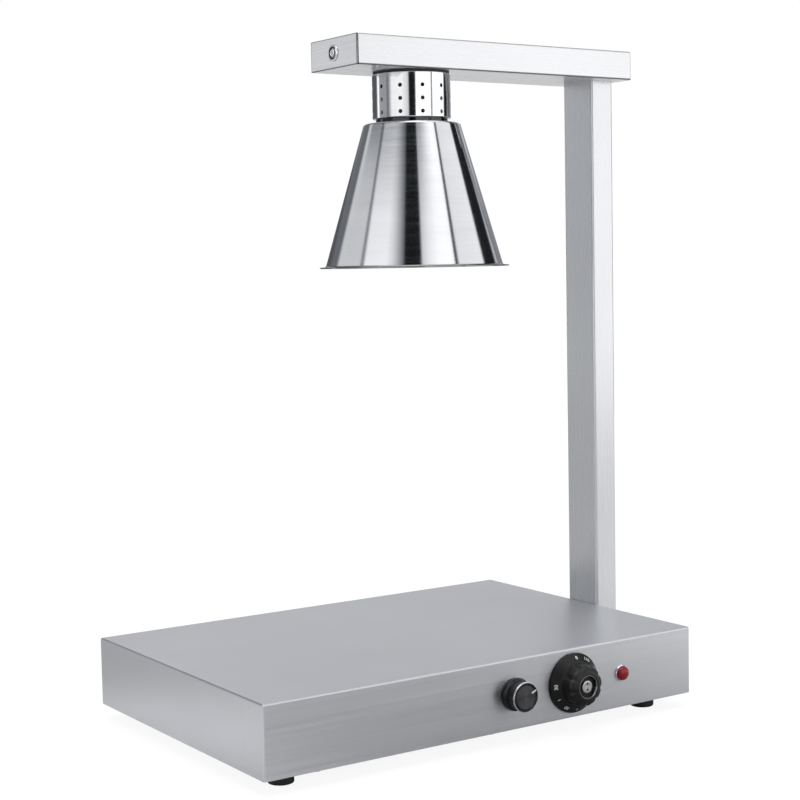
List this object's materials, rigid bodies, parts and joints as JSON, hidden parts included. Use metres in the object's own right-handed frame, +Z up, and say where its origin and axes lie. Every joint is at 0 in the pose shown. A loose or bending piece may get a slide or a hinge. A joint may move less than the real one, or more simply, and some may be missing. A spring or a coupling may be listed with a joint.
{
  "type": "heat lamp warmer",
  "caption": "Counter-top food warmer: a heated stainless base with feet and front controls, a side post and box arm, and a hanging conical heat lamp over the plate.",
  "frame": {"origin": "on the floor, under the centre of the base casing's footprint", "axes": "+X to the right, towards the post; +Y to the rear, away from the front control panel; +Z up"},
  "size_m": [0.561, 0.5036, 0.706],
  "materials": {
    "brushed_casing": "satin brushed stainless steel",
    "brushed_post": "satin brushed stainless steel, lengthwise grain",
    "brushed_arm": "satin brushed stainless steel, lengthwise grain",
    "polished_neck": "polished spun steel",
    "spun_shade": "bright spun steel with fine circular grain",
    "plain_sheet": "mill finish sheet",
    "zinc_steel": "bright zinc plate",
    "bright_trim": "polished",
    "spreader_aluminium": "mill finish",
    "mica": "pressed mica",
    "blanket": "woven ceramic fibre",
    "phenolic": "moulded phenolic",
    "copper": "drawn copper",
    "dial_black": "satin black moulding",
    "knob_black": "gloss black moulding",
    "pointer_white": "white insert",
    "switch_black": "black moulding",
    "bezel": "bright bezel",
    "pilot_red": "translucent red lens",
    "ceramic_white": "white steatite",
    "brass": "turned",
    "wire_brown": "silicone insulation",
    "wire_blue": "silicone insulation",
    "wire_green": "green and yellow insulation",
    "cord_rubber": "rubber sheath",
    "foot_rubber": "moulded rubber",
    "gasket": "silicone rubber",
    "cable_white": "silicone sheath",
    "cap_metal": "rolled screw cap",
    "filament": "glass stem and wire",
    "bulb_glass": "frosted face, silvered reflector"
  },
  "bodies": {
    "chassis": {"base_casing": "brushed_casing", "bottom_cover": "plain_sheet", "casing_screws": "zinc_steel", "rubber_feet": "foot_rubber", "foot_screws": "zinc_steel", "lock_nuts": "zinc_steel", "heat_spreader": "spreader_aluminium", "heater_mat": "mica", "insulation_blanket": "blanket", "heater_clamp": "plain_sheet", "weld_studs": "zinc_steel", "thermostat_body": "phenolic", "thermostat_screws": "zinc_steel", "thermostat_capillary": "copper", "capillary_clips": "plain_sheet", "dimmer_body": "switch_black", "pilot_holder": "bezel", "pilot_lens": "pilot_red", "panel_nuts": "zinc_steel", "terminal_block": "ceramic_white", "terminal_screws": "brass", "live_wires": "wire_brown", "neutral_wires": "wire_blue", "earth_wires": "wire_green", "cord_gland": "switch_black", "power_cord": "cord_rubber", "power_plug": "cord_rubber", "plug_pins": "brass", "post": "brushed_post", "post_end_plug": "switch_black", "post_backing_plate": "plain_sheet", "post_tapped_plates": "plain_sheet", "frame_bolts": "zinc_steel", "wire_grommets": "cord_rubber", "arm_cover": "brushed_arm", "arm_floor": "brushed_arm", "arm_end_cap": "brushed_arm", "end_cap_screw": "zinc_steel", "neck_gasket": "gasket", "neck": "polished_neck", "shade": "spun_shade", "shade_ring": "plain_sheet", "lamp_nipple": "brass", "nipple_nuts": "brass", "lamp_cable": "cable_white", "socket_bracket": "plain_sheet", "socket_body": "ceramic_white", "socket_shell": "brass", "bulb_glass": "bulb_glass", "bulb_cap": "cap_metal", "bulb_filament": "filament"},
    "heat_dial": {"thermostat_dial": "dial_black", "dial_trim_ring": "bright_trim", "dial_screw": "bright_trim", "thermostat_spindle": "zinc_steel"},
    "lamp_dimmer": {"dimmer_knob": "knob_black", "knob_trim_ring": "bright_trim", "knob_pointer": "pointer_white", "dimmer_spindle": "zinc_steel"}
  },
  "joints": [
    {"name": "dial_turn", "type": "hinge", "parent": "chassis", "child": "heat_dial", "pos_m": [0.099, -0.175, 0.0505], "axis": [0, 1, 0], "range_deg": [0, 330]},
    {"name": "dimmer_turn", "type": "hinge", "parent": "chassis", "child": "lamp_dimmer", "pos_m": [0.025, -0.175, 0.0505], "axis": [0, 1, 0], "range_deg": [-214, 86]}
  ]
}
